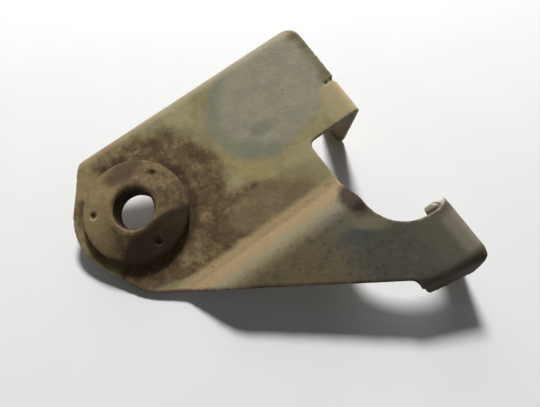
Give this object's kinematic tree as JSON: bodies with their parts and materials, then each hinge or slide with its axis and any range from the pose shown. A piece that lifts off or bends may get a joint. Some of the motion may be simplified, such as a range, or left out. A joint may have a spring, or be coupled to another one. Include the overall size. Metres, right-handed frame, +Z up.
{
  "type": "transfer case shift bracket",
  "caption": "Folded sheet-steel shift bracket: rounded plate with a flanged pivot bushing, a joggled arm with a flanged head, a narrow hanging leg and a wide notch between arm and leg.",
  "frame": {"origin": "on the axis of the pivot bore, level with the plate's upper face", "axes": "the bracket lies as it rests on a bench: +Z up, +X along its length from the pivot end towards the head, +Y away from the lower edge towards the leg"},
  "size_m": [0.1671, 0.1129, 0.0532],
  "materials": {
    "bracket_plate": "matt, dirty, lightly rusted",
    "pivot_bushing": "matt, rusted"
  },
  "bodies": {
    "root": {"bracket_plate": "bracket_plate", "pivot_bushing": "pivot_bushing"}
  },
  "joints": []
}
